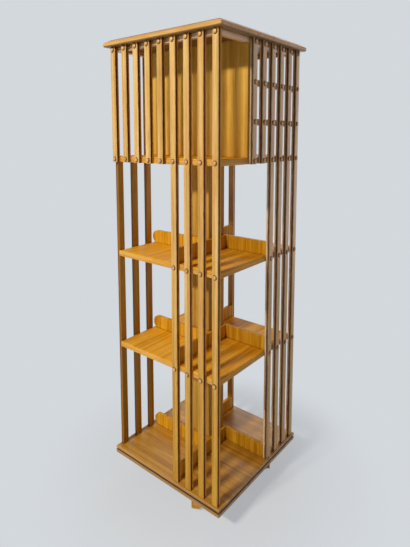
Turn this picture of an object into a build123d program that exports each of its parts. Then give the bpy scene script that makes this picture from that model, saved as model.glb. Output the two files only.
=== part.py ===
"""Revolving bookcase: a slatted case of four storeys that turns about a fixed post on a cross base.

Millimetres. The origin is on the floor at the turning axis and +Z is up. The front face looks along -Y.
"""
import os
from math import atan2, degrees, sqrt

from build123d import *

os.makedirs("parts", exist_ok=True)

# Case and its storeys
case_width = 442.0
shelf_thickness = 20.0
edge_bevel = 2.0
bottom_clear = 382.0
lower_clear = 316.0
middle_clear = 314.0
upper_clear = 364.0

# Slats on the case faces
slat_width = 23.0
slat_thickness = 14.0
slat_bevel = 2.0
slat_inset = 3.0
slats_across = 9
long_slats = 4
left_slat_inset = 14.0
left_slat_pitch = 66.8
left_slats = 3
right_upper_slats = 2
left_upper_slats = 5
left_back_inset = 22.0

# Buttons over the slat fixings
button_diameter = 15.0
button_crown = 8.0
button_height = 5.0
button_sides = 8

# Top board, top rails and upper storey
top_overhang = 14.0
top_edge = 13.0
top_edge_round = 5.0
top_bevel_rise = 12.0
top_bevel_run = 20.0
rail_width = 20.0
rail_height = 14.0
rail_button_drop = 10.0
panel_thickness = 9.0
batten_height = 20.0
batten_thickness = 8.0
batten_rows = 2

# Plinth board and its moulded edge
plinth_thickness = 31.0
plinth_overhang = 4.0
plinth_foot_round = 8.0
groove_drop = 9.0
groove_height = 5.0
groove_depth = 4.0

# Boxed column and book stops
column_width = 85.0
column_board = 12.0
stop_thickness = 12.0
stop_height = 48.0
stop_round = 23.0

# Base cross
base_turn = -60.0
arm_tips = 4
base_height = 61.0
arm_width = 30.0
arm_reach = 237.0
arm_arch = 24.0
arm_tip_height = 32.0
arm_round = 60.0
arm_tip_round = 8.0
hub_length = 150.0
foot_length = 55.0
foot_slope = 60.0
lap_clearance = 0.1
glide_diameter = 22.0
glide_height = 9.0
glide_inset = 22.0

# Post, socket and bearings
post_diameter = 44.0
post_clearance = 3.0
post_top_gap = 7.0
socket_clearance = 0.1
collar_wall = 7.8
flange_diameter = 120.0
flange_thickness = 6.0
running_clearance = 0.05
seat_clearance = 0.1
bush_wall = 6.0
bush_lip = 6.0
bush_lip_thickness = 2.0
under_gap = 2.0
pin_diameter = 12.0
pin_depth = 50.0
pin_tip_bevel = 3.0
pin_tip_gap = 0.1
cup_wall = 6.0
cup_height = 25.0
cup_floor = 5.0
block_height = 40.0
block_clearance = 0.3

# Screws
screw_diameter = 5.0
screw_head_diameter = 10.0
screw_head_height = 3.0
screw_head_sides = 6
flange_screw_length = 24.0
flange_screw_inset = 14.0
block_screw_grip = 10.0
block_screw_inset = 10.0
block_screw_count = 2
block_screw_turn = 45.0

# Places worked out from the sizes above
case_half = case_width / 2
slat_face = case_half + slat_thickness
slat_span = case_half - slat_inset
slat_pitch = 2 * slat_span / (slats_across - 1)
button_taper = degrees(atan2((button_diameter - button_crown) / 2, button_height))
column_half = column_width / 2
column_inside = column_width - 2 * column_board
hub_top = base_height - (flange_thickness + screw_head_height + bush_lip_thickness + under_gap)
flange_top = hub_top + flange_thickness
plinth_top = base_height + plinth_thickness
lower_floor = plinth_top + bottom_clear + shelf_thickness
middle_floor = lower_floor + lower_clear + shelf_thickness
upper_floor = middle_floor + middle_clear + shelf_thickness
top_underside = upper_floor + upper_clear
post_radius = post_diameter / 2
collar_radius = post_radius + socket_clearance + collar_wall
bush_radius = collar_radius + running_clearance + bush_wall
cup_bore_radius = pin_diameter / 2 + running_clearance
cup_radius = cup_bore_radius + cup_wall
block_bottom = top_underside - block_height
post_top = block_bottom - post_top_gap
pin_tip = block_bottom + cup_height - cup_floor - pin_tip_gap
screw_hole_radius = screw_diameter / 2 + seat_clearance
flange_screw_radius = flange_diameter / 2 - flange_screw_inset
block_width = column_inside - 2 * block_clearance
block_screw_radius = (block_width / 2 - block_screw_inset) * sqrt(2)

# Storeys by name, the lowest on the plinth board: floor height and clear height
storeys = {
    "bottom": (plinth_top, bottom_clear),
    "lower": (lower_floor, lower_clear),
    "middle": (middle_floor, middle_clear),
    "upper": (upper_floor, upper_clear),
}

# Case faces by name: turn about the axis from the front face
right_angle = 90
faces = {face: right_angle * step for step, face in enumerate(["front", "right", "back", "left"])}

# Heights of the button rows on the slats
shelf_rows = [floor - shelf_thickness / 2 for floor in (lower_floor, middle_floor, upper_floor)]
rail_row = top_underside - rail_button_drop
batten_step = (rail_row - shelf_rows[-1]) / (batten_rows + 1)
batten_levels = [shelf_rows[-1] + batten_step * (row + 1) for row in range(batten_rows)]
long_rows = shelf_rows + [rail_row]
upper_rows = [shelf_rows[-1], rail_row]

# Places of the slats along each face, counted towards its closed end
slat_places = [slat_pitch * place - slat_span for place in range(slats_across)]
open_places = slat_places[:slats_across - long_slats]
long_places = slat_places[slats_across - long_slats:]
right_upper_places = open_places[len(open_places) - right_upper_slats:]
panel_back = slat_width / 2 - right_upper_places[0]
left_low_places = [case_half - left_slat_inset - left_slat_pitch * place for place in range(left_slats)]
left_long_place = left_low_places.pop()
left_upper_pitch = (left_long_place + case_half - left_back_inset) / left_upper_slats
left_upper_places = [left_long_place - left_upper_pitch * place for place in range(1, left_upper_slats + 1)]


def save(part, name):
    """Labels a finished piece and writes it to its own file."""
    part.label = name
    export_step(part, f"parts/{name}.step")


def along(turn):
    """Gives the direction along a case face, from left to right as seen from outside."""
    return Vector(1, 0, 0).rotate(Axis.Z, turn)


def outward(turn):
    """Gives the direction out of a case face."""
    return Vector(0, -1, 0).rotate(Axis.Z, turn)


def face_plan(turn, height):
    """Gives the level plane of a face: x runs along the face and -y runs out of it."""
    return Plane(origin=(0, 0, height), x_dir=along(turn), z_dir=(0, 0, 1))


def make_slats(turn, places, bottom, top):
    """Makes upright slats with bevelled outer edges, seated on the outside of a case face."""
    with BuildPart() as slats:
        with BuildSketch(face_plan(turn, bottom)) as profile:
            with Locations(*[(place, -case_half - slat_thickness / 2) for place in places]):
                Rectangle(slat_width, slat_thickness)
            chamfer(profile.vertices().group_by(Axis.Y)[0], slat_bevel)
        extrude(amount=top - bottom)
    return slats.part


def make_battens(turn, start, end):
    """Makes the level battens behind an upper grille, between two places along its face."""
    with BuildPart() as battens:
        for level in batten_levels:
            with BuildSketch(face_plan(turn, level - batten_height / 2)):
                with Locations(((start + end) / 2, -case_half + batten_thickness / 2)):
                    Rectangle(end - start, batten_thickness)
            extrude(amount=batten_height)
    return battens.part


def make_buttons(turn, spots):
    """Makes crowned buttons on the slats of a case face, at places along it and heights."""
    with BuildPart() as button:
        with BuildSketch():
            RegularPolygon(button_diameter / 2, button_sides, major_radius=False)
        extrude(amount=button_height, taper=button_taper)
    seats = [
        Plane(
            origin=along(turn) * place + outward(turn) * slat_face + Vector(0, 0, height),
            x_dir=along(turn),
            z_dir=outward(turn),
        )
        for place, height in spots
    ]
    with BuildPart() as buttons:
        with Locations(*seats):
            add(button.part)
    return buttons.part


def make_screw(length):
    """Makes a hexagon-headed screw: its head stands on the level z = 0 and its shank points down."""
    with BuildPart() as screw:
        with BuildSketch():
            RegularPolygon(screw_head_diameter / 2, screw_head_sides)
        extrude(amount=screw_head_height)
        with BuildSketch():
            Circle(screw_diameter / 2)
        extrude(amount=-length)
    return screw.part


def make_arm(turn, lap_bottom, lap_top):
    """Makes an arm of the base cross: arched below, tapered to the tips, with a halving at its middle."""
    with BuildPart() as arm:
        with BuildSketch(Plane(origin=(0, 0, 0), x_dir=along(turn), z_dir=outward(turn))) as outline:
            with BuildLine():
                Polyline(
                    (0, arm_arch),
                    (arm_reach - foot_length - foot_slope, arm_arch),
                    (arm_reach - foot_length, glide_height),
                    (arm_reach, glide_height),
                    (arm_reach, glide_height + arm_tip_height),
                    (hub_length / 2, hub_top),
                    (0, hub_top),
                    close=True,
                )
            make_face()
            inner_groups = outline.vertices().group_by(Axis.X)[1:-1]
            fillet([corner for group in inner_groups for corner in group], arm_round)
            fillet(outline.vertices().group_by(Axis.X)[-1].sort_by(Axis.Y)[-1], arm_tip_round)
            mirror(about=Plane.YZ)
        extrude(amount=arm_width / 2, both=True)
        with BuildSketch(face_plan(turn, lap_bottom)):
            Rectangle(arm_width + 2 * lap_clearance, 2 * arm_width)
        extrude(amount=lap_top - lap_bottom, mode=Mode.SUBTRACT)
        with Locations(Plane(origin=(0, 0, hub_top), x_dir=along(turn))):
            with Locations((-flange_screw_radius, 0), (flange_screw_radius, 0)):
                Hole(screw_hole_radius)
    return arm.part


# Base cross: two arms halved into each other
lap_height = (arm_arch + hub_top) / 2
save(make_arm(base_turn, lap_height, hub_top), "base_arm_lower")
save(make_arm(base_turn + right_angle, arm_arch, lap_height), "base_arm_upper")

# Glides under the arm tips
with BuildPart() as foot_glides:
    with PolarLocations(arm_reach - glide_inset, arm_tips, start_angle=base_turn):
        Cylinder(glide_diameter / 2, glide_height, align=(Align.CENTER, Align.CENTER, Align.MIN))
save(foot_glides.part, "foot_glides")

# Post socket: a round flange with a collar that holds the post and carries the guide bush
with BuildPart() as post_socket:
    with BuildSketch(Plane.XY.offset(hub_top)):
        Circle(flange_diameter / 2)
    extrude(amount=flange_thickness)
    with BuildSketch(Plane.XY.offset(flange_top)):
        Circle(collar_radius)
    extrude(amount=plinth_top - flange_top)
    with Locations((0, 0, plinth_top)):
        Hole(post_radius + socket_clearance)
        with PolarLocations(flange_screw_radius, arm_tips, start_angle=base_turn):
            Hole(screw_hole_radius)
save(post_socket.part, "post_socket")

# Screws of the post socket
flange_screw = make_screw(flange_screw_length)
with BuildPart() as socket_screws:
    with Locations((0, 0, flange_top)):
        with PolarLocations(flange_screw_radius, arm_tips, start_angle=base_turn):
            add(flange_screw)
save(socket_screws.part, "socket_screws")

# Centre post with a bore for the pivot pin
with BuildPart() as centre_post:
    with BuildSketch(Plane.XY.offset(hub_top)):
        Circle(post_radius)
    extrude(amount=post_top - hub_top)
    with Locations((0, 0, post_top)):
        Hole(pin_diameter / 2 + running_clearance, depth=pin_depth)
save(centre_post.part, "centre_post")

# Pivot pin with a bevelled tip
with BuildPart() as pivot_pin:
    with BuildSketch(Plane.XY.offset(post_top - pin_depth)):
        Circle(pin_diameter / 2)
    extrude(amount=pin_tip - post_top + pin_depth)
    chamfer(pivot_pin.edges().group_by(Axis.Z)[-1], pin_tip_bevel)
save(pivot_pin.part, "pivot_pin")

# Plinth board with a grooved edge and a hole for the guide bush
with BuildPart() as plinth_board:
    plinth_width = 2 * (slat_face + plinth_overhang)
    with BuildSketch(Plane.XY.offset(base_height)):
        Rectangle(plinth_width, plinth_width)
    extrude(amount=plinth_thickness)
    fillet(plinth_board.edges().group_by(Axis.Z)[0], plinth_foot_round)
    chamfer(plinth_board.edges().group_by(Axis.Z)[-1], edge_bevel)
    with BuildSketch(Plane.XY.offset(plinth_top - groove_drop)):
        Rectangle(plinth_width, plinth_width)
        Rectangle(plinth_width - 2 * groove_depth, plinth_width - 2 * groove_depth, mode=Mode.SUBTRACT)
    extrude(amount=-groove_height, mode=Mode.SUBTRACT)
    with Locations((0, 0, plinth_top)):
        Hole(bush_radius + seat_clearance)
save(plinth_board.part, "plinth_board")

# Guide bush that runs on the socket's collar, with a lip under the plinth board
with BuildPart() as guide_bush:
    with BuildSketch(Plane.XY.offset(base_height)):
        Circle(bush_radius)
    extrude(amount=plinth_thickness)
    with BuildSketch(Plane.XY.offset(base_height)):
        Circle(bush_radius + bush_lip)
    extrude(amount=-bush_lip_thickness)
    with Locations((0, 0, plinth_top)):
        Hole(collar_radius + running_clearance)
save(guide_bush.part, "guide_bush")

# Shelves with a hole for the post
for storey in ("lower", "middle", "upper"):
    floor = storeys[storey][0]
    with BuildPart() as shelf:
        with BuildSketch(Plane.XY.offset(floor - shelf_thickness)):
            Rectangle(case_width, case_width)
        extrude(amount=shelf_thickness)
        chamfer(shelf.edges().group_by(Axis.Z)[0] + shelf.edges().group_by(Axis.Z)[-1], edge_bevel)
        with Locations((0, 0, floor)):
            Hole(post_radius + post_clearance)
    save(shelf.part, f"shelf_{storey}")

# Boxed column: four boards in each storey
for storey, (floor, clear) in storeys.items():
    with BuildPart() as column:
        with BuildSketch(Plane.XY.offset(floor)):
            with GridLocations(0, column_width - column_board, 1, 2):
                Rectangle(column_width, column_board)
            with GridLocations(column_width - column_board, 0, 2, 1):
                Rectangle(column_board, column_inside - 2 * seat_clearance)
        extrude(amount=clear)
    save(column.part, f"column_{storey}")

# Low book stops: a pinwheel of four in each lower storey, rounded where no slat meets the end
for storey in ("bottom", "lower", "middle"):
    for face, turn in faces.items():
        with BuildPart() as stop:
            seat = along(turn) * (column_half + stop_thickness) + Vector(0, 0, storeys[storey][0])
            with BuildSketch(Plane(origin=seat, x_dir=outward(turn), z_dir=-along(turn))) as outline:
                with Locations((-column_half, 0)):
                    Rectangle(column_half + case_half, stop_height, align=(Align.MIN, Align.MIN))
                if face == "left":
                    fillet(outline.vertices().group_by(Axis.X)[-1], stop_round)
            extrude(amount=stop_thickness)
        save(stop.part, f"stop_{storey}_{face}")

# Long slats from the plinth board to the top board
for face in ("front", "right", "back"):
    for number, place in enumerate(long_places, start=1):
        save(make_slats(faces[face], [place], plinth_top, top_underside), f"{face}_slat_{number}")
save(make_slats(faces["left"], [left_long_place], plinth_top, top_underside), "left_slat_1")

# Slats of the left face that end at the upper shelf
for number, place in enumerate(left_low_places, start=2):
    save(make_slats(faces["left"], [place], plinth_top, upper_floor), f"left_slat_{number}")

# Short slats of the upper storey
upper_foot = upper_floor - shelf_thickness
save(make_slats(faces["front"], open_places, upper_foot, top_underside), "front_upper_slats")
save(make_slats(faces["right"], right_upper_places, upper_foot, top_underside), "right_upper_slats")
save(make_slats(faces["left"], left_upper_places, upper_foot, top_underside), "left_upper_slats")

# Battens behind the side grilles, from the panel to the back corner
save(make_battens(faces["right"], -panel_back, case_half), "right_battens")
save(make_battens(faces["left"], -case_half, panel_back), "left_battens")

# Buttons on the slats
front_spots = [(place, row) for place in long_places for row in long_rows]
front_spots += [(place, row) for place in open_places for row in upper_rows]
right_spots = [(place, row) for place in long_places for row in long_rows + batten_levels]
right_spots += [(place, row) for place in right_upper_places for row in upper_rows + batten_levels]
back_spots = [(place, row) for place in long_places for row in long_rows]
left_spots = [(left_long_place, row) for row in long_rows]
left_spots += [(place, row) for place in left_low_places for row in shelf_rows]
left_spots += [(place, row) for place in left_upper_places for row in upper_rows + batten_levels]
save(make_buttons(faces["front"], front_spots), "front_buttons")
save(make_buttons(faces["right"], right_spots), "right_buttons")
save(make_buttons(faces["back"], back_spots), "back_buttons")
save(make_buttons(faces["left"], left_spots), "left_buttons")

# Upright panel across the upper storey, notched round the side rails
with BuildPart() as upper_panel:
    with BuildSketch(Plane.XZ.offset(panel_back)):
        with Locations((0, upper_floor)):
            Rectangle(case_width, upper_clear, align=(Align.CENTER, Align.MIN))
        with Locations((0, top_underside)):
            with GridLocations(case_width - rail_width, 0, 2, 1):
                Rectangle(rail_width, rail_height, align=(Align.CENTER, Align.MAX), mode=Mode.SUBTRACT)
    extrude(amount=panel_thickness)
save(upper_panel.part, "upper_panel")

# Top rails behind the slat tops: long ones at the front and back, shorter ones between them
with BuildPart() as top_rails:
    with BuildSketch(Plane.XY.offset(top_underside)):
        with GridLocations(0, case_width - rail_width, 1, 2):
            Rectangle(case_width, rail_width)
        with GridLocations(case_width - rail_width, 0, 2, 1):
            Rectangle(rail_width, case_width - 2 * rail_width - 2 * seat_clearance)
    extrude(amount=-rail_height)
save(top_rails.part, "top_rails")

# Top board with a broad bevel, a rounded nose and blind holes for the block's screws
with BuildPart() as top_board:
    top_width = 2 * (slat_face + top_overhang)
    with BuildSketch(Plane.XY.offset(top_underside)):
        Rectangle(top_width, top_width)
    extrude(amount=top_edge)
    with BuildSketch(Plane.XY.offset(top_underside + top_edge)):
        Rectangle(top_width, top_width)
    extrude(amount=top_bevel_rise, taper=degrees(atan2(top_bevel_run, top_bevel_rise)))
    levels = top_board.edges().group_by(Axis.Z)
    fillet(levels[0] + levels[2], top_edge_round)
    with Locations(Plane.XY.offset(top_underside).rotated((180, 0, 0))):
        with PolarLocations(block_screw_radius, block_screw_count, start_angle=block_screw_turn):
            Hole(screw_hole_radius, depth=block_screw_grip)
save(top_board.part, "top_board")

# Pivot block under the top board, bored for the cup and drilled for its screws
with BuildPart() as pivot_block:
    with BuildSketch(Plane.XY.offset(block_bottom)):
        Rectangle(block_width, block_width)
    extrude(amount=block_height)
    with Locations(Plane.XY.offset(block_bottom).rotated((180, 0, 0))):
        Hole(cup_radius + seat_clearance, depth=cup_height)
        with PolarLocations(block_screw_radius, block_screw_count, start_angle=block_screw_turn):
            Hole(screw_hole_radius)
save(pivot_block.part, "pivot_block")

# Pivot cup that turns on the pin
with BuildPart() as pivot_cup:
    with BuildSketch(Plane.XY.offset(block_bottom)):
        Circle(cup_radius)
    extrude(amount=cup_height)
    with Locations(Plane.XY.offset(block_bottom).rotated((180, 0, 0))):
        Hole(cup_bore_radius, depth=cup_height - cup_floor)
save(pivot_cup.part, "pivot_cup")

# Screws of the pivot block
block_screw = make_screw(block_height + block_screw_grip)
with BuildPart() as block_screws:
    with Locations(Plane.XY.offset(block_bottom).rotated((180, 0, 0))):
        with PolarLocations(block_screw_radius, block_screw_count, start_angle=block_screw_turn):
            add(block_screw)
save(block_screws.part, "block_screws")
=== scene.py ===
import math
from collections import namedtuple

import bpy
from mathutils import Matrix, Vector


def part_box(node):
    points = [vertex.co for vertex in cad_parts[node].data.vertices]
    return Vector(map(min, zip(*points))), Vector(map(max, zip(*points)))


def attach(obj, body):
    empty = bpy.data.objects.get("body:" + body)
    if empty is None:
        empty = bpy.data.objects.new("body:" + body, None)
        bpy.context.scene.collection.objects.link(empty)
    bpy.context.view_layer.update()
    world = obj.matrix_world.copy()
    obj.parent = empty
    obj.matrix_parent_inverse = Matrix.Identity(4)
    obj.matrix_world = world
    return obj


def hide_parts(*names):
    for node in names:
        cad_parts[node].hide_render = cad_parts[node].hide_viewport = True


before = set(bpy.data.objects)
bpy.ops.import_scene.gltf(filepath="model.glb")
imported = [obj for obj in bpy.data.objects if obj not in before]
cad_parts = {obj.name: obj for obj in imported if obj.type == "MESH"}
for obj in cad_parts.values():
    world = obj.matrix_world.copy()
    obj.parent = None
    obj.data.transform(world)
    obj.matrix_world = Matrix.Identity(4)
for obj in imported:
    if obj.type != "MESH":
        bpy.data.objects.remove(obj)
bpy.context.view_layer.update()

X, Y, Z = range(3)
storeys = ["bottom", "lower", "middle", "upper"]
# The axis that each face of the case looks along
depth_axes = {"front": Y, "right": X, "back": Y, "left": X}

# A noise pattern: the lengths of its features, and the number and strength of its finer layers
Noise = namedtuple("Noise", "lengths detail roughness")
# A varnish: its roughness, the weight of its clear coat and the specular level below it
Varnish = namedtuple("Varnish", "roughness coat specular")
# Slats of a face: where the dark band of their sides starts and ends behind the face, its tone
# and the tone behind it, which also carries painted light
SlatFinish = namedtuple("SlatFinish", "dark_start dark_end dark_tone inner_tone varnish")
# A metal: its display colour, its roughness, the tool marks on it and how strongly they show
Metal = namedtuple("Metal", "tone roughness marks relief")
# A flat lamp, turned towards a point of the case
Lamp = namedtuple("Lamp", "place target size power tone")

# Camera: place, turn about the vertical, dip below the horizon and lens, in pixels of the
# photograph's frame
frame_width = 410
frame_height = 547
camera_place = Vector((1.00595, -1.24902, 1.22567))
camera_turn = math.radians(38.901)
camera_dip = math.radians(6.305)
focal_pixels = 452.71
axis_pixel = (206.6, 188.0)

# Tones of the woods, dark to light, as display colours
slat_tones = [(191, 148, 79), (216, 175, 106), (229, 194, 133)]
rail_tones = [(206, 166, 116), (226, 190, 144), (238, 208, 170)]
batten_tones = [(218, 176, 126), (236, 198, 148), (248, 216, 172)]
panel_tones = [(194, 146, 54), (218, 170, 70), (232, 190, 96)]
board_tones = [(214, 148, 22), (240, 174, 34), (250, 194, 64)]
stop_tones = [(182, 128, 14), (216, 158, 26), (240, 186, 58)]
edge_tones = [(190, 132, 52), (214, 158, 72), (226, 178, 98)]
column_tones = [(161, 119, 40), (185, 141, 55), (203, 163, 78)]
top_tones = [(180, 124, 48), (206, 154, 70), (220, 174, 96)]
plinth_tones = [(162, 108, 24), (190, 136, 38), (210, 160, 66)]
plinth_edge_tones = [(124, 84, 32), (154, 110, 48), (178, 136, 74)]
button_tones = [(184, 126, 54), (212, 160, 82), (230, 188, 118)]
glide_tones = [(26, 16, 10), (40, 26, 16), (58, 40, 26)]

# Figure of the wood, with lengths across the grain and along it
streaks = Noise((0.011, 0.42), 5.0, 0.55)
fibres = Noise((0.0022, 0.06), 3.0, 0.6)
pores = Noise((0.0010, 0.016), 2.0, 0.5)
streak_share = 0.68
fibre_share = 0.32
figure_range = (0.32, 0.68)
pore_range = (0.60, 0.74)
pore_darkness = 0.35
pore_depth = 0.6

# Boards of a row differ in tone: how much, and how wide the boards of each piece are
tint_tone = (208, 160, 110)
slat_tint = 0.28
board_tint = 0.22
shelf_board_width = 0.082
panel_board_width = 0.064
column_board_width = 0.085
stop_board_width = 0.013
top_board_width = 0.098
batten_board_width = 0.06
post_board_width = 0.2
glide_board_width = 0.5

# Varnish, what age has done to it, and painted shade in corners
satin = Varnish(0.42, 0.15, 0.40)
dull = Varnish(0.50, 0.0, 0.12)
polished = Varnish(0.34, 0.25, 0.40)
coat_roughness = 0.22
sheen_spread = (-0.10, 0.12)
relief_strength = 0.25
relief_height = 0.0003
stains = Noise((0.09, 0.09, 0.14), 4.0, 0.6)
stain_tone = (206, 166, 118)
stain_range = (0.45, 0.75)
stain_strength = 0.22
# Painted shade in corners and between parts; its tone also darkens nicks and painted shade lines
nick_and_shade_tone = (66, 36, 8)
corner_shade_reach = 0.014
corner_shade_samples = 4
corner_shade_range = (0.28, 0.85)
corner_shade_strength = 0.85
edge_radius = 0.0012
edge_samples = 6
edge_range = (0.02, 0.25)
rubbed_tone = (234, 200, 140)
rubbed_range = (0.30, 0.75)
rubbed_strength = 0.28
nicks = Noise((0.008, 0.008, 0.016), 2.0, 0.5)
nick_range = (0.58, 0.68)
nick_strength = 0.6

# How far a face has turned from one axis to another where its colour changes
turn_range = (0.4, 0.6)

# Slats: their places come from the CAD model, and their dark sides have a worn edge
slat_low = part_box("front_slat_1")[0]
slat_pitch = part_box("front_slat_2")[0].x - slat_low.x
face_distance = -slat_low.y
slat_edge_radius = 0.0028
# Painted shade: the slats grow darker and yellower towards the foot, where less lamp light falls
slat_foot_shade_tone = (230, 216, 146)
slat_foot_shade_reach = 0.95
# Painted shade: the inward faces of the slats turn browner and more olive, the case's inside being
# shaded
slat_back_shade_tone = (216, 206, 112)
slat_back_shade_range = (0.80, 0.95)
slat_back_shade_strength = 0.85
slat_side_range = (0.55, 0.75)
slat_side_strength = 0.97
arris_fade = 0.0008
inner_fade = (-0.0012, 0.0030)
wear = Noise((0.012, 0.012, 0.045), 4.0, 0.65)
wear_reach = 0.0024
# Painted light on the slat sides: the tone behind the dark band is pale on the right, whose sides
# lie in shade, and brown on the left, which the lamp lights
slat_finishes = {
    "front": SlatFinish(0.0022, 0.0082, (98, 42, 0), (226, 166, 82), Varnish(0.42, 0.0, 0.05)),
    "right": SlatFinish(0.0016, 0.0074, (82, 52, 26), (244, 214, 176), Varnish(0.42, 0.25, 0.50)),
    "back": SlatFinish(0.0022, 0.0082, (97, 57, 26), (236, 178, 92), satin),
    "left": SlatFinish(0.0, 0.0052, (112, 63, 26), (151, 99, 36), Varnish(0.42, 0.03, 0.15)),
}

# Top board: depths of its painted shade line below the top face, heights of painted shade under its
# nose
shade_line_top = (0.0028, 0.0014)
shade_line_bottom = (0.0062, 0.0048)
nose_shade = (0.0030, 0.0052)
top_shade_strength = 0.7

# Plinth board: the groove along its edge, below its top face, darkened with painted shade
groove_drop = 0.009
groove_height = 0.005
groove_fade = 0.0006
groove_shade_strength = 0.9
level_range = (0.4, 0.8)

# Top rails and base arms: the lower arm runs at this turn and the upper arm square to it
rail_width = 0.020
rail_fade = 0.0002
lower_arm_turn = math.radians(-60)

# Turned buttons: a round dome with a soft rim, its profile as shares of its radius and its rise.
# Corners of the CAD buttons that are nearer than the reach belong to one button.
button_sides = 20
button_rise = 0.005
button_reach = 4 * button_rise
button_profile = [(1.00, 0.0), (0.99, 0.18), (0.93, 0.42),
                  (0.80, 0.66), (0.60, 0.85), (0.32, 0.96)]
button_crown = (0.0, 1.0)
# Painted shade where each button meets its slat
rim_shade_tone = (98, 38, 0)
rim_shade_range = (0.0026, 0.0047)
rim_shade_strength = 0.88

# Metal fittings
metal_stains = Noise((0.012, 0.012, 0.012), 5.0, 0.6)
metal_stain_range = (0.35, 0.75)
metal_stain_share = 0.62
metal_scratch_share = 0.5
metal_spread = (-0.12, 0.14)
metal_relief_height = 0.0002
cast_marks = Noise((0.0011, 0.0011, 0.0011), 3.0, 0.7)
upright_marks = Noise((0.0006, 0.0006, 0.02), 3.0, 0.7)
pin_marks = Noise((0.02, 0.02, 0.0005), 3.0, 0.7)
brass_marks = Noise((0.02, 0.02, 0.0006), 3.0, 0.7)
socket_iron = Metal((58, 58, 60), 0.58, cast_marks, 0.5)
screw_steel = Metal((176, 174, 168), 0.34, upright_marks, 0.15)
pin_steel = Metal((190, 190, 194), 0.26, pin_marks, 0.12)
bearing_brass = Metal((206, 164, 88), 0.32, brass_marks, 0.15)

# Light: a wide flat lamp and a low fill in front, a pale window behind on the right, a soft lamp
# behind on the left, and the room
case_middle = (0, 0, 0.80)
case_foot = (0, 0, 0.45)
lamp_tone = (255, 250, 240)
window_tone = (248, 228, 246)
lamps = {
    "lamp": Lamp((-0.25, -4.20, 3.55), case_middle, (0.80, 0.32), 210.0, lamp_tone),
    "fill": Lamp((0.5, -2.2, 0.3), case_foot, (1.2, 1.2), 1.5, lamp_tone),
    "window": Lamp((1.9, 2.3, 1.1), case_middle, (2.4, 2.4), 19.0, window_tone),
    "back": Lamp((-1.7, 3.0, 1.9), case_middle, (2.0, 2.0), 24.0, lamp_tone),
}
room_tone = (238, 237, 238)
room_strength = 0.085
backdrop_tone = (211, 216, 221)

# Floor: its own shading shows near the case, the backdrop's tone further out
floor_half = 14.0
floor_tones = [(236, 243, 251), (240, 247, 255)]
floor_speckle = Noise((0.3, 0.3, 0.3), 4.0, 0.5)
floor_roughness = 0.85
floor_specular = 0.2
floor_clear_radius = 0.30
floor_fade_radius = 0.70
floor_near_share = 0.57


def tone(display):
    """Gives a display colour, 0 to 255, as the linear colour that shaders take (sRGB curve)."""
    shares = [value / 255 for value in display]
    linear = [share / 12.92 if share <= 0.04045 else ((share + 0.055) / 1.055) ** 2.4
              for share in shares]
    return (*linear, 1.0)


class Look:
    """A material under construction, with short calls for the nodes that the looks share."""

    def __init__(self, name):
        self.material = bpy.data.materials.new(name)
        self.material.use_nodes = True
        self.tree = self.material.node_tree
        self.shader = self.tree.nodes["Principled BSDF"]
        coordinates = self.tree.nodes.new("ShaderNodeTexCoord")
        self.place = coordinates.outputs["Object"]
        self.facing = coordinates.outputs["Normal"]

    def feed(self, socket, value):
        """Links a node's output to a socket, or sets a constant on it."""
        if isinstance(value, bpy.types.NodeSocket):
            self.tree.links.new(value, socket)
        elif value is not None:
            socket.default_value = value

    def add(self, kind, *values, out=0, **settings):
        """Adds a node, sets its options and feeds its inputs in order; None leaves one as it is."""
        node = self.tree.nodes.new(kind)
        for option, value in settings.items():
            setattr(node, option, value)
        for socket, value in zip(node.inputs, values):
            self.feed(socket, value)
        return node.outputs[out]

    def set(self, **inputs):
        """Feeds the shader's inputs by name, with underscores for spaces."""
        for name, value in inputs.items():
            self.feed(self.shader.inputs[name.replace("_", " ")], value)

    def math(self, operation, first, second=None):
        """Does a sum with one or two numbers."""
        return self.add("ShaderNodeMath", first, second, operation=operation)

    def times(self, first, second):
        """Multiplies two numbers."""
        return self.math("MULTIPLY", first, second)

    def flip(self, share):
        """Turns a share round: 1 becomes 0."""
        return self.math("SUBTRACT", 1.0, share)

    def smooth(self, value, low, high):
        """Rises smoothly from 0 to 1 between two values."""
        return self.add("ShaderNodeMapRange", value, low, high, interpolation_type="SMOOTHSTEP")

    def band(self, value, rise, fall):
        """Rises smoothly over one range of a value and falls again over another."""
        return self.times(self.smooth(value, *rise), self.flip(self.smooth(value, *fall)))

    def between(self, share, low, high):
        """Runs from one number to another with a share of 0 to 1."""
        return self.add("ShaderNodeMapRange", share, 0.0, 1.0, low, high)

    def mix(self, share, base, over, blend="MIX"):
        """Lays one colour over another by a share of 0 to 1."""
        number_inputs = [None] * 5
        return self.add("ShaderNodeMix", share, *number_inputs, base, over, out=2,
                        data_type="RGBA", blend_type=blend)

    def ramp(self, value, tones):
        """Colours a value of 0 to 1 with evenly spaced tones."""
        node = self.tree.nodes.new("ShaderNodeValToRGB")
        self.feed(node.inputs[0], value)
        elements = node.color_ramp.elements
        while len(elements) < len(tones):
            elements.new(0.5)
        for index, display in enumerate(tones):
            elements[index].position = index / (len(tones) - 1)
            elements[index].color = tone(display)
        return node.outputs[0]

    def split(self, vector):
        """Gives the X, Y and Z of a vector."""
        node = self.tree.nodes.new("ShaderNodeSeparateXYZ")
        self.feed(node.inputs[0], vector)
        return list(node.outputs)

    def noise(self, pattern, place=None):
        """Cloudy noise of a pattern, whose lengths are along X, Y and Z."""
        scale = tuple(1 / length for length in pattern.lengths)
        scaled = self.add("ShaderNodeVectorMath", place or self.place, scale, operation="MULTIPLY")
        return self.add("ShaderNodeTexNoise", scaled, None, 1.0, pattern.detail, pattern.roughness)


def other_axis(axis):
    """Gives the level axis that is square to a level axis."""
    return X if axis == Y else Y


def along_grain(axis, pattern):
    """Lays a pattern of the wood's figure along an axis."""
    across, along = pattern.lengths
    return pattern._replace(lengths=[along if index == axis else across for index in (X, Y, Z)])


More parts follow.
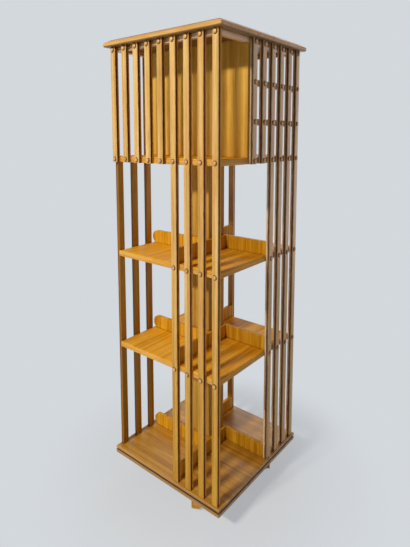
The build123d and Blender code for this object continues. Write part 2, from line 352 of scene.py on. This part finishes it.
def wood_grain(look, tones, axis, place=None):
    """Streaks, fibres and pores along an axis: gives the colour and the height of the surface."""
    streak = look.noise(along_grain(axis, streaks), place)
    fibre = look.noise(along_grain(axis, fibres), place)
    pore = look.smooth(look.noise(along_grain(axis, pores), place), *pore_range)
    figure = look.math("ADD", look.times(streak, streak_share), look.times(fibre, fibre_share))
    colour = look.ramp(look.smooth(figure, *figure_range), tones)
    colour = look.mix(look.times(pore, pore_darkness), colour, tone(tones[0]))
    height = look.math("SUBTRACT", fibre, look.times(pore, pore_depth))
    return colour, height


def tint_boards(look, colour, coordinate, width, strength):
    """Makes some boards of a row darker and redder than others."""
    board = look.math("FLOOR", look.math("DIVIDE", coordinate, width))
    tint = look.add("ShaderNodeTexWhiteNoise", None, board, noise_dimensions="1D")
    return look.mix(look.times(tint, strength), colour, tone(tint_tone), "MULTIPLY")


def finish_wood(look, colour, height, varnish=satin, radius=edge_radius):
    """Old varnish: stains, painted shade in corners, rubbed and nicked edges, uneven sheen, fine
    relief.
    """
    cloud = look.noise(stains)
    stained = look.times(look.smooth(cloud, *stain_range), stain_strength)
    colour = look.mix(stained, colour, tone(stain_tone), "MULTIPLY")
    # Painted shade: darker where the occlusion finds other surfaces near, in corners and between
    # parts
    open_sky = look.add("ShaderNodeAmbientOcclusion", None, corner_shade_reach, out=1,
                        samples=corner_shade_samples)
    corner_shade = look.smooth(look.flip(open_sky), *corner_shade_range)
    colour = look.mix(look.times(corner_shade, corner_shade_strength), colour, tone(nick_and_shade_tone))
    rounded = look.add("ShaderNodeBevel", radius, samples=edge_samples)
    true_normal = look.add("ShaderNodeNewGeometry", out=1)
    turned = look.add("ShaderNodeVectorMath", rounded, true_normal, out=1, operation="DOT_PRODUCT")
    edge = look.smooth(look.flip(turned), *edge_range)
    rubbed = look.times(edge, look.smooth(cloud, *rubbed_range))
    colour = look.mix(look.times(rubbed, rubbed_strength), colour, tone(rubbed_tone))
    nicked = look.times(edge, look.smooth(look.noise(nicks), *nick_range))
    colour = look.mix(look.times(nicked, nick_strength), colour, tone(nick_and_shade_tone))
    relief = look.add("ShaderNodeBump", relief_strength, relief_height, None, height, rounded)
    roughness = look.between(cloud, *[varnish.roughness + change for change in sheen_spread])
    look.set(Base_Color=colour, Roughness=roughness, Normal=relief)
    look.set(Specular_IOR_Level=varnish.specular)
    look.set(Coat_Weight=varnish.coat, Coat_Roughness=coat_roughness, Coat_Normal=rounded)
    return look.material


def make_slat_wood(face, depth_axis):
    """Slats of a face: pale in front, dark on the sides; painted shade makes them darker to the
    foot and browner behind.
    """
    look = Look(f"{face}_slat_wood")
    finish = slat_finishes[face]
    across_axis = other_axis(depth_axis)
    place = look.split(look.place)
    facing = look.split(look.facing)
    colour, height = wood_grain(look, slat_tones, Z)
    colour = tint_boards(look, colour, place[across_axis], slat_pitch, slat_tint)
    # Painted shade: darker and yellower towards the foot
    foot_shade = look.flip(look.smooth(place[Z], slat_low.z, slat_low.z + slat_foot_shade_reach))
    colour = look.mix(foot_shade, colour, tone(slat_foot_shade_tone), "MULTIPLY")
    depth = look.math("SUBTRACT", face_distance, look.math("ABSOLUTE", place[depth_axis]))
    depth = look.math("ADD", depth, look.between(look.noise(wear), -wear_reach, wear_reach))
    # The tone behind the dark band carries painted light, pale where the sides lie in shade
    inner_part = look.smooth(depth, *[finish.dark_end + change for change in inner_fade])
    side_colour = look.mix(inner_part, tone(finish.dark_tone), tone(finish.inner_tone))
    side = look.smooth(look.math("ABSOLUTE", facing[across_axis]), *slat_side_range)
    start = finish.dark_start
    behind_arris = look.smooth(depth, start - arris_fade, start + arris_fade)
    side = look.times(look.times(side, behind_arris), slat_side_strength)
    colour = look.mix(side, colour, side_colour)
    # Painted shade: inward faces browner and more olive
    outward = look.times(facing[depth_axis], look.math("SIGN", place[depth_axis]))
    back = look.smooth(look.times(outward, -1.0), *slat_back_shade_range)
    back = look.times(back, slat_back_shade_strength)
    colour = look.mix(back, colour, tone(slat_back_shade_tone), "MULTIPLY")
    return finish_wood(look, colour, height, finish.varnish, slat_edge_radius)


def make_board_wood(name, tones, axis, across_axis, board_width, edges=None, varnish=satin):
    """Boards glued side by side, with other tones on their edges where they are given."""
    look = Look(name)
    across = look.split(look.place)[across_axis]
    colour, height = wood_grain(look, tones, axis)
    colour = tint_boards(look, colour, across, board_width, board_tint)
    if edges:
        facing = look.split(look.facing)
        along_x, _ = wood_grain(look, edges, X)
        along_y, _ = wood_grain(look, edges, Y)
        sideways = look.smooth(look.math("ABSOLUTE", facing[X]), *turn_range)
        edge_colour = look.mix(sideways, along_x, along_y)
        upright = look.flip(look.smooth(look.math("ABSOLUTE", facing[Z]), *turn_range))
        colour = look.mix(upright, colour, edge_colour)
    return finish_wood(look, colour, height, varnish)


def make_top_wood(name, tones):
    """The top board: painted shade lies along the upper edge of its bevel and under its nose."""
    look = Look(name)
    place = look.split(look.place)
    colour, height = wood_grain(look, tones, X)
    colour = tint_boards(look, colour, place[Y], top_board_width, board_tint)
    low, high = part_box("top_board")
    # Painted shade: a dark line below the top face and a dark band under the nose
    rise = [high.z - drop for drop in shade_line_bottom]
    fall = [high.z - drop for drop in shade_line_top]
    under = look.flip(look.smooth(place[Z], *[low.z + lift for lift in nose_shade]))
    top_shade = look.math("MAXIMUM", look.band(place[Z], rise, fall), under)
    colour = look.mix(look.times(top_shade, top_shade_strength), colour, tone(nick_and_shade_tone))
    return finish_wood(look, colour, height)


def make_edge_grooved_wood(name, tones, edges):
    """The plinth board: its moulded edge is browner, with painted shade in its groove."""
    look = Look(name)
    place = look.split(look.place)
    colour, height = wood_grain(look, tones, X)
    edge_colour, _ = wood_grain(look, edges, X)
    level = look.smooth(look.split(look.facing)[Z], *level_range)
    colour = look.mix(level, edge_colour, colour)
    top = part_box("plinth_board")[1].z - groove_drop
    bottom = top - groove_height
    # Painted shade in the groove
    groove_shade = look.band(place[Z], (bottom - groove_fade, bottom), (top, top + groove_fade))
    colour = look.mix(look.times(groove_shade, groove_shade_strength), colour, tone(nick_and_shade_tone))
    return finish_wood(look, colour, height)


def make_rail_wood(name, tones):
    """Rails: their grain runs along the face that each one stands behind."""
    look = Look(name)
    place = look.split(look.place)
    along_x, height_x = wood_grain(look, tones, X)
    along_y, height_y = wood_grain(look, tones, Y)
    inner_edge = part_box("top_rails")[1].y - rail_width
    long_rail = look.smooth(look.math("ABSOLUTE", place[Y]), inner_edge, inner_edge + rail_fade)
    colour = look.mix(long_rail, along_y, along_x)
    height = look.math("ADD", look.times(height_x, long_rail), height_y)
    return finish_wood(look, colour, height)


def make_arm_wood(name, turn):
    """An arm of the base cross: its grain runs along the arm."""
    look = Look(name)
    turned = look.add("ShaderNodeMapping", look.place, None, (0.0, 0.0, -turn))
    colour, height = wood_grain(look, plinth_tones, X, turned)
    return finish_wood(look, colour, height)


def make_button_wood(name, depth_axis):
    """Turned buttons: painted shade darkens each one where it meets its slat."""
    look = Look(name)
    place = look.split(look.place)
    colour, height = wood_grain(look, button_tones, Z)
    rise = look.math("SUBTRACT", look.math("ABSOLUTE", place[depth_axis]), face_distance)
    # Painted shade where the button meets its slat
    rim_shade = look.flip(look.smooth(rise, *rim_shade_range))
    colour = look.mix(look.times(rim_shade, rim_shade_strength), colour, tone(rim_shade_tone))
    return finish_wood(look, colour, height, polished)


def make_metal(name, metal):
    """Turned or cast metal: stained colour, uneven polish and fine tool marks."""
    look = Look(name)
    stain = look.noise(metal_stains)
    scratches = look.noise(metal.marks)
    stained_tone = [value * metal_stain_share for value in metal.tone]
    stained = look.smooth(stain, *metal_stain_range)
    colour = look.mix(stained, tone(metal.tone), tone(stained_tone))
    uneven = look.math("ADD", look.times(stain, 1 - metal_scratch_share),
                       look.times(scratches, metal_scratch_share))
    roughness = look.between(uneven, *[metal.roughness + change for change in metal_spread])
    relief = look.add("ShaderNodeBump", metal.relief, metal_relief_height, None, scratches)
    look.set(Base_Color=colour, Metallic=1.0, Roughness=roughness, Normal=relief)
    return look.material


def dress(material, *names):
    """Gives CAD nodes a material."""
    for name in names:
        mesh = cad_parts[name].data
        mesh.materials.clear()
        mesh.materials.append(material)


def button_seats(node):
    """Finds the box of each separate button in a CAD node."""
    groups = []
    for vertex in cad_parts[node].data.vertices:
        for group in groups:
            if (group[0] - vertex.co).length < button_reach:
                group.append(vertex.co)
                break
        else:
            groups.append([vertex.co])
    corners = []
    for group in groups:
        low = Vector([min(point[axis] for point in group) for axis in (X, Y, Z)])
        high = Vector([max(point[axis] for point in group) for axis in (X, Y, Z)])
        corners.append((low, high))
    return corners


def make_domes(face, depth_axis, material):
    """Makes the round buttons of a face, on the seats of its CAD buttons."""
    node = f"{face}_buttons"
    points = []
    polygons = []
    across_axis = other_axis(depth_axis)
    for low, high in button_seats(node):
        outward = 1 if low[depth_axis] > 0 else -1
        seat = low[depth_axis] if outward > 0 else high[depth_axis]
        middle = (low + high) / 2
        radius = (high.z - low.z) / 2
        start = len(points)
        for share, rise in [*button_profile, button_crown]:
            for side in range(button_sides if share else 1):
                angle = outward * 2 * math.pi * side / button_sides
                point = [0.0, 0.0, middle.z + radius * share * math.sin(angle)]
                point[across_axis] = middle[across_axis] + radius * share * math.cos(angle)
                point[depth_axis] = seat + outward * button_rise * rise
                points.append(point)
        polygons.append([start + side for side in range(button_sides)])
        for ring in range(len(button_profile) - 1):
            first = start + ring * button_sides
            second = first + button_sides
            for side in range(button_sides):
                after = (side + 1) % button_sides
                polygons.append([first + side, first + after, second + after, second + side])
        crown = start + len(button_profile) * button_sides
        last = crown - button_sides
        for side in range(button_sides):
            polygons.append([last + side, last + (side + 1) % button_sides, crown])
    mesh = bpy.data.meshes.new(f"{face}_domes")
    mesh.from_pydata(points, [], polygons)
    smooth = [len(polygon.vertices) < button_sides for polygon in mesh.polygons]
    mesh.polygons.foreach_set("use_smooth", smooth)
    mesh.materials.append(material)
    domes = bpy.data.objects.new(f"{face}_domes", mesh)
    bpy.context.scene.collection.objects.link(domes)
    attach(domes, "case")
    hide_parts(node)


def seen_directly(tree):
    """Gives 1 for rays from the camera, straight or by way of a mirror or glass, else 0."""
    path = tree.nodes.new("ShaderNodeLightPath")
    total = path.outputs["Is Camera Ray"]
    for name in ("Is Glossy Ray", "Is Transmission Ray"):
        node = tree.nodes.new("ShaderNodeMath")
        node.operation = "MAXIMUM"
        tree.links.new(total, node.inputs[0])
        tree.links.new(path.outputs[name], node.inputs[1])
        total = node.outputs[0]
    return total


def make_floor():
    """A pale floor that keeps the shadow near the case and fades into the backdrop's tone."""
    corners = [(-1, -1), (1, -1), (1, 1), (-1, 1)]
    mesh = bpy.data.meshes.new("floor")
    mesh.from_pydata([(x * floor_half, y * floor_half, 0) for x, y in corners], [], [(0, 1, 2, 3)])
    floor = bpy.data.objects.new("floor", mesh)
    bpy.context.scene.collection.objects.link(floor)
    look = Look("floor")
    look.set(Base_Color=look.ramp(look.noise(floor_speckle), floor_tones))
    look.set(Roughness=floor_roughness, Specular_IOR_Level=floor_specular)
    distance = look.add("ShaderNodeVectorMath", look.place, out=1, operation="LENGTH")
    far = look.smooth(distance, floor_clear_radius, floor_fade_radius)
    glow = look.add("ShaderNodeEmission", tone(backdrop_tone), 1.0)
    shown = look.times(look.between(far, floor_near_share, 1.0), seen_directly(look.tree))
    mixed = look.add("ShaderNodeMixShader", shown, look.shader.outputs[0], glow)
    look.feed(look.tree.nodes["Material Output"].inputs["Surface"], mixed)
    mesh.materials.append(look.material)


def make_room():
    """The room's soft light, seen as the backdrop's tone."""
    world = bpy.data.worlds.new("room")
    world.use_nodes = True
    tree = world.node_tree
    light = tree.nodes["Background"]
    light.inputs["Color"].default_value = tone(room_tone)
    light.inputs["Strength"].default_value = room_strength
    shown = tree.nodes.new("ShaderNodeBackground")
    shown.inputs["Color"].default_value = tone(backdrop_tone)
    shown.inputs["Strength"].default_value = 1.0
    mixed = tree.nodes.new("ShaderNodeMixShader")
    tree.links.new(seen_directly(tree), mixed.inputs[0])
    tree.links.new(light.outputs[0], mixed.inputs[1])
    tree.links.new(shown.outputs[0], mixed.inputs[2])
    tree.links.new(mixed.outputs[0], tree.nodes["World Output"].inputs["Surface"])
    bpy.context.scene.world = world


def make_lamp(name, lamp):
    """A flat lamp, level along its width, that the camera doesn't see."""
    data = bpy.data.lights.new(name, "AREA")
    data.shape = "RECTANGLE"
    data.size, data.size_y = lamp.size
    data.energy = lamp.power
    data.color = tone(lamp.tone)[:3]
    light = bpy.data.objects.new(name, data)
    light.location = lamp.place
    light.rotation_mode = "QUATERNION"
    direction = Vector(lamp.target) - Vector(lamp.place)
    light.rotation_quaternion = direction.to_track_quat("-Z", "Y")
    light.visible_camera = False
    bpy.context.scene.collection.objects.link(light)


def make_camera():
    """A camera at the photograph's viewing angle and in its frame."""
    right = Vector((math.cos(camera_turn), math.sin(camera_turn), 0))
    level = math.cos(camera_dip)
    back = Vector((math.sin(camera_turn) * level, -math.cos(camera_turn) * level,
                   math.sin(camera_dip)))
    turn = Matrix((right, back.cross(right), back)).transposed().to_4x4()
    data = bpy.data.cameras.new("camera")
    data.lens = focal_pixels / frame_height * data.sensor_width
    data.shift_x = (frame_width / 2 - axis_pixel[0]) / frame_height
    data.shift_y = (axis_pixel[1] - frame_height / 2) / frame_height
    camera = bpy.data.objects.new("camera", data)
    camera.matrix_world = Matrix.Translation(camera_place) @ turn
    bpy.context.scene.collection.objects.link(camera)
    bpy.context.scene.camera = camera


# Slats, and the buttons on them
button_woods = {axis: make_button_wood(f"button_wood_{'XY'[axis]}", axis) for axis in (X, Y)}
for face, axis in depth_axes.items():
    slats = [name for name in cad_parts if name.startswith(face) and "slat" in name]
    dress(make_slat_wood(face, axis), *slats)
    make_domes(face, axis, button_woods[axis])

# Boards, rails, panel and column; the inner ones have little sheen
shelf_wood = make_board_wood("shelf_wood", board_tones, Y, X, shelf_board_width, edge_tones, dull)
dress(shelf_wood, *[f"shelf_{storey}" for storey in storeys[1:]])
dress(make_top_wood("top_board_wood", top_tones), "top_board")
panel_wood = make_board_wood("panel_wood", panel_tones, Z, X, panel_board_width, varnish=dull)
dress(panel_wood, "upper_panel")
column_wood = make_board_wood("column_wood", column_tones, Z, X, column_board_width, varnish=dull)
dress(column_wood, *[f"column_{storey}" for storey in storeys])
dress(make_board_wood("block_wood", plinth_tones, X, Y, post_board_width), "pivot_block")
dress(make_board_wood("post_wood", plinth_tones, Z, X, post_board_width), "centre_post")
dress(make_edge_grooved_wood("plinth_wood", plinth_tones, plinth_edge_tones), "plinth_board")
dress(make_rail_wood("rail_wood", rail_tones), "top_rails")
batten_wood = make_board_wood("batten_wood", batten_tones, Y, Z, batten_board_width)
dress(batten_wood, "right_battens", "left_battens")
stop_woods = {}
for axis in (X, Y):
    name = f"stop_wood_{'XY'[axis]}"
    stop_woods[axis] = make_board_wood(name, stop_tones, Z, axis, stop_board_width, varnish=dull)
for face, axis in depth_axes.items():
    dress(stop_woods[other_axis(axis)], *[f"stop_{storey}_{face}" for storey in storeys[:-1]])

# Base cross
dress(make_arm_wood("lower_arm_wood", lower_arm_turn), "base_arm_lower")
dress(make_arm_wood("upper_arm_wood", lower_arm_turn + math.pi / 2), "base_arm_upper")
dress(make_board_wood("glide_wood", glide_tones, X, Y, glide_board_width), "foot_glides")

# Metal fittings
dress(make_metal("socket_iron", socket_iron), "post_socket")
dress(make_metal("screw_steel", screw_steel), "socket_screws", "block_screws")
dress(make_metal("pin_steel", pin_steel), "pivot_pin")
dress(make_metal("bearing_brass", bearing_brass), "guide_bush", "pivot_cup")

# Floor, light and camera
make_floor()
make_room()
for name, lamp in lamps.items():
    make_lamp(name, lamp)
make_camera()
bpy.context.scene.view_settings.view_transform = "Standard"
